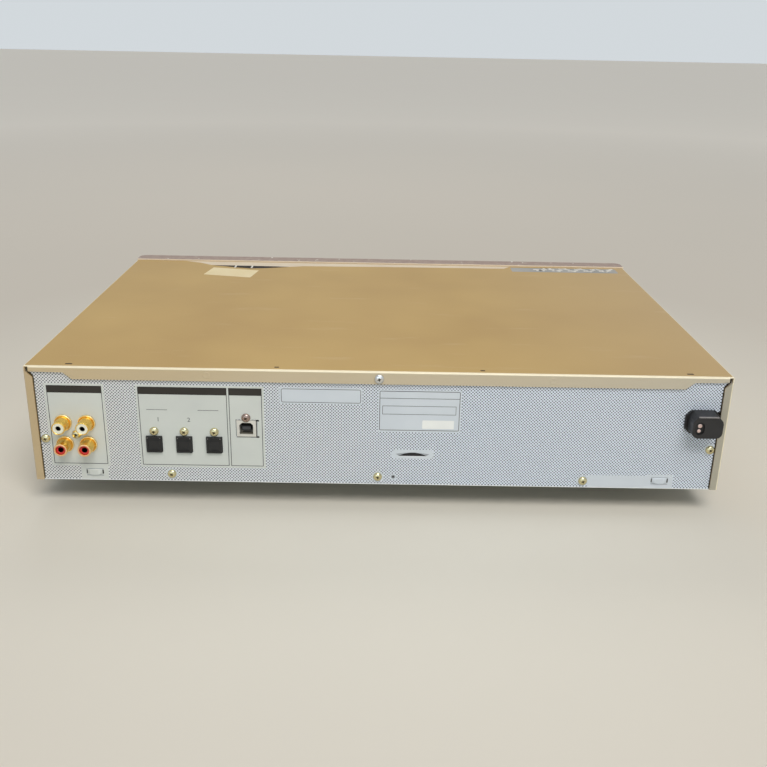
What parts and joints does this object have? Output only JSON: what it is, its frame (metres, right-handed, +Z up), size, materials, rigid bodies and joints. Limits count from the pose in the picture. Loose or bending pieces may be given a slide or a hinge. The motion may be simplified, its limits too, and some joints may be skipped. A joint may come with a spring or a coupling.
{
  "type": "minidisc deck",
  "caption": "Slot-loading minidisc recorder in a champagne component case, with a working disc mechanism, jog dial, keys, sprung flap, phono, optical and USB sockets and a cut-off cord.",
  "frame": {"origin": "centre of the base of the whole deck, on the surface that the feet stand on", "axes": "+X to the right seen from the front, +Y towards the rear panel and its sockets, +Z up"},
  "size_m": [0.43, 0.29, 0.096],
  "materials": {
    "cover_paint": "satin gold paint",
    "rear_paint": "light blue-grey paint with a fine dark dot print",
    "champagne_plastic": "satin champagne moulding",
    "smoked_window": "glossy smoked",
    "plain_steel": "bright plated sheet",
    "transformer_iron": "dark laminations",
    "gold_plate": "polished gold plating",
    "black_plastic": "fine matt",
    "white_plastic": "satin cream",
    "red_plastic": "satin",
    "winding_tape": "yellow film tape",
    "circuit_board": "green solder mask",
    "power_board": "tan phenolic board",
    "tube_glass": "clear",
    "foot_rubber": "matt",
    "cord_rubber": "matt"
  },
  "bodies": {
    "housing": {"top_cover": "cover_paint", "chassis_pan": "plain_steel", "rear_panel": "rear_paint", "front_panel": "champagne_plastic", "display_window": "smoked_window", "foot_front_left": "foot_rubber", "foot_front_right": "foot_rubber", "foot_rear_left": "foot_rubber", "foot_rear_right": "foot_rubber", "front_board": "circuit_board", "display_tube": "tube_glass", "phones_jack": "black_plastic", "phones_nut": "plain_steel", "rca_block": "black_plastic", "rca_shell_out_left": "gold_plate", "rca_shell_out_right": "gold_plate", "rca_shell_in_left": "gold_plate", "rca_shell_in_right": "gold_plate", "rca_insulator_out_left": "white_plastic", "rca_insulator_out_right": "red_plastic", "rca_insulator_in_left": "white_plastic", "rca_insulator_in_right": "red_plastic", "optical_socket_out": "black_plastic", "optical_socket_in_2": "black_plastic", "optical_socket_in_1": "black_plastic", "usb_shell": "plain_steel", "usb_insert": "black_plastic", "cord_bushing": "black_plastic", "cord_stub": "cord_rubber", "main_board": "circuit_board", "power_board": "power_board", "transformer_core": "transformer_iron", "transformer_coil": "winding_tape", "mechanism_frame": "plain_steel"},
    "power_button": {"power_button": "champagne_plastic"},
    "eject_button": {"eject_button": "champagne_plastic"},
    "play_button": {"play_button": "champagne_plastic"},
    "pause_button": {"pause_button": "champagne_plastic"},
    "stop_button": {"stop_button": "champagne_plastic"},
    "search_back_button": {"search_back_button": "champagne_plastic"},
    "search_forward_button": {"search_forward_button": "champagne_plastic"},
    "record_button": {"record_button": "champagne_plastic"},
    "menu_button": {"menu_button": "champagne_plastic"},
    "enter_button": {"enter_button": "champagne_plastic"},
    "slot_door": {"slot_door": "champagne_plastic"},
    "optical_shutter_out": {"optical_shutter_out": "black_plastic"},
    "optical_shutter_in_2": {"optical_shutter_in_2": "black_plastic"},
    "optical_shutter_in_1": {"optical_shutter_in_1": "black_plastic"},
    "jog_spindle": {"jog_spindle": "plain_steel"},
    "jog_knob": {"jog_knob": "champagne_plastic"},
    "level_knob": {"level_knob": "champagne_plastic"},
    "phones_knob": {"phones_knob": "champagne_plastic"},
    "timer_switch": {"timer_switch": "black_plastic"},
    "loading_slider": {"loading_slider": "white_plastic"},
    "cartridge_holder": {"cartridge_holder": "plain_steel"},
    "loading_gear": {"loading_gear": "white_plastic"},
    "turntable": {"turntable": "plain_steel"},
    "pickup_sled": {"pickup_sled": "black_plastic"},
    "head_arm": {"head_arm": "plain_steel"},
    "lead_screw": {"lead_screw": "plain_steel"}
  },
  "joints": [
    {"name": "power_button_press", "type": "slide", "parent": "housing", "child": "power_button", "axis": [0, 1, 0], "range_m": [0, 0.0012], "stiffness_N_per_m": 900, "springref_m": -0.0004},
    {"name": "eject_button_press", "type": "slide", "parent": "housing", "child": "eject_button", "axis": [0, 1, 0], "range_m": [0, 0.0012], "stiffness_N_per_m": 900, "springref_m": -0.0004},
    {"name": "play_button_press", "type": "slide", "parent": "housing", "child": "play_button", "axis": [0, 1, 0], "range_m": [0, 0.0012], "stiffness_N_per_m": 900, "springref_m": -0.0004},
    {"name": "pause_button_press", "type": "slide", "parent": "housing", "child": "pause_button", "axis": [0, 1, 0], "range_m": [0, 0.0012], "stiffness_N_per_m": 900, "springref_m": -0.0004},
    {"name": "stop_button_press", "type": "slide", "parent": "housing", "child": "stop_button", "axis": [0, 1, 0], "range_m": [0, 0.0012], "stiffness_N_per_m": 900, "springref_m": -0.0004},
    {"name": "search_back_button_press", "type": "slide", "parent": "housing", "child": "search_back_button", "axis": [0, 1, 0], "range_m": [0, 0.0012], "stiffness_N_per_m": 900, "springref_m": -0.0004},
    {"name": "search_forward_button_press", "type": "slide", "parent": "housing", "child": "search_forward_button", "axis": [0, 1, 0], "range_m": [0, 0.0012], "stiffness_N_per_m": 900, "springref_m": -0.0004},
    {"name": "record_button_press", "type": "slide", "parent": "housing", "child": "record_button", "axis": [0, 1, 0], "range_m": [0, 0.0012], "stiffness_N_per_m": 900, "springref_m": -0.0004},
    {"name": "menu_button_press", "type": "slide", "parent": "housing", "child": "menu_button", "axis": [0, 1, 0], "range_m": [0, 0.0012], "stiffness_N_per_m": 900, "springref_m": -0.0004},
    {"name": "enter_button_press", "type": "slide", "parent": "housing", "child": "enter_button", "axis": [0, 1, 0], "range_m": [0, 0.0012], "stiffness_N_per_m": 900, "springref_m": -0.0004},
    {"name": "slot_door_swing", "type": "hinge", "parent": "housing", "child": "slot_door", "pos_m": [-0.1, -0.1353, 0.0743], "axis": [1, 0, 0], "range_deg": [0, 78], "stiffness_Nm_per_rad": 0.0006, "springref_deg": -20.05},
    {"name": "optical_shutter_out_swing", "type": "hinge", "parent": "housing", "child": "optical_shutter_out", "pos_m": [0.1021, 0.13445, 0.0475], "axis": [-1, 0, 0], "range_deg": [0, 78], "stiffness_Nm_per_rad": 0.0002, "springref_deg": -20.05},
    {"name": "optical_shutter_in_2_swing", "type": "hinge", "parent": "housing", "child": "optical_shutter_in_2", "pos_m": [0.1207, 0.13445, 0.0475], "axis": [-1, 0, 0], "range_deg": [0, 78], "stiffness_Nm_per_rad": 0.0002, "springref_deg": -20.05},
    {"name": "optical_shutter_in_1_swing", "type": "hinge", "parent": "housing", "child": "optical_shutter_in_1", "pos_m": [0.1393, 0.13445, 0.0475], "axis": [-1, 0, 0], "range_deg": [0, 78], "stiffness_Nm_per_rad": 0.0002, "springref_deg": -20.05},
    {"name": "jog_press", "type": "slide", "parent": "housing", "child": "jog_spindle", "axis": [0, 1, 0], "range_m": [0, 0.001], "stiffness_N_per_m": 1200, "springref_m": -0.0005},
    {"name": "jog_turn", "type": "hinge", "parent": "jog_spindle", "child": "jog_knob", "pos_m": [0.128, -0.1418, 0.071], "axis": [0, 1, 0], "continuous": true},
    {"name": "level_turn", "type": "hinge", "parent": "housing", "child": "level_knob", "pos_m": [0.182, -0.1405, 0.071], "axis": [0, 1, 0], "range_deg": [-145, 145]},
    {"name": "phones_level_turn", "type": "hinge", "parent": "housing", "child": "phones_knob", "pos_m": [-0.14, -0.14, 0.037], "axis": [0, 1, 0], "range_deg": [-145, 145]},
    {"name": "timer_switch_slide", "type": "slide", "parent": "housing", "child": "timer_switch", "axis": [1, 0, 0], "range_m": [-0.0045, 0.0045]},
    {"name": "loading_slider_travel", "type": "slide", "parent": "housing", "child": "loading_slider", "axis": [0, 1, 0], "range_m": [0, 0.012]},
    {"name": "cartridge_holder_drop", "type": "slide", "parent": "housing", "child": "cartridge_holder", "axis": [0, 0, -1], "range_m": [0, 0.005]},
    {"name": "loading_gear_turn", "type": "hinge", "parent": "housing", "child": "loading_gear", "pos_m": [-0.0591, -0.0685, 0.05273], "axis": [-1, 0, 0], "range_deg": [0, 86.5]},
    {"name": "pickup_sled_travel", "type": "slide", "parent": "housing", "child": "pickup_sled", "axis": [0, 1, 0], "range_m": [0, 0.02]},
    {"name": "head_arm_lower", "type": "hinge", "parent": "pickup_sled", "child": "head_arm", "pos_m": [-0.1, -0.0445, 0.079], "axis": [1, 0, 0], "range_deg": [0, 15]},
    {"name": "lead_screw_turn", "type": "hinge", "parent": "housing", "child": "lead_screw", "pos_m": [-0.118, -0.055, 0.057], "axis": [0, 1, 0], "range_deg": [0, 2400]},
    {"name": "turntable_spin", "type": "hinge", "parent": "housing", "child": "turntable", "pos_m": [-0.1, -0.0885, 0.06], "axis": [0, 0, 1], "continuous": true}
  ],
  "couplings": [
    {"joint": "cartridge_holder_drop", "follows": "loading_slider_travel", "ratio": 0.4166},
    {"joint": "loading_gear_turn", "follows": "loading_slider_travel", "rad_per_m": 125},
    {"joint": "head_arm_lower", "follows": "loading_slider_travel", "rad_per_m": 21.8},
    {"joint": "lead_screw_turn", "follows": "pickup_sled_travel", "rad_per_m": 2094.4}
  ]
}
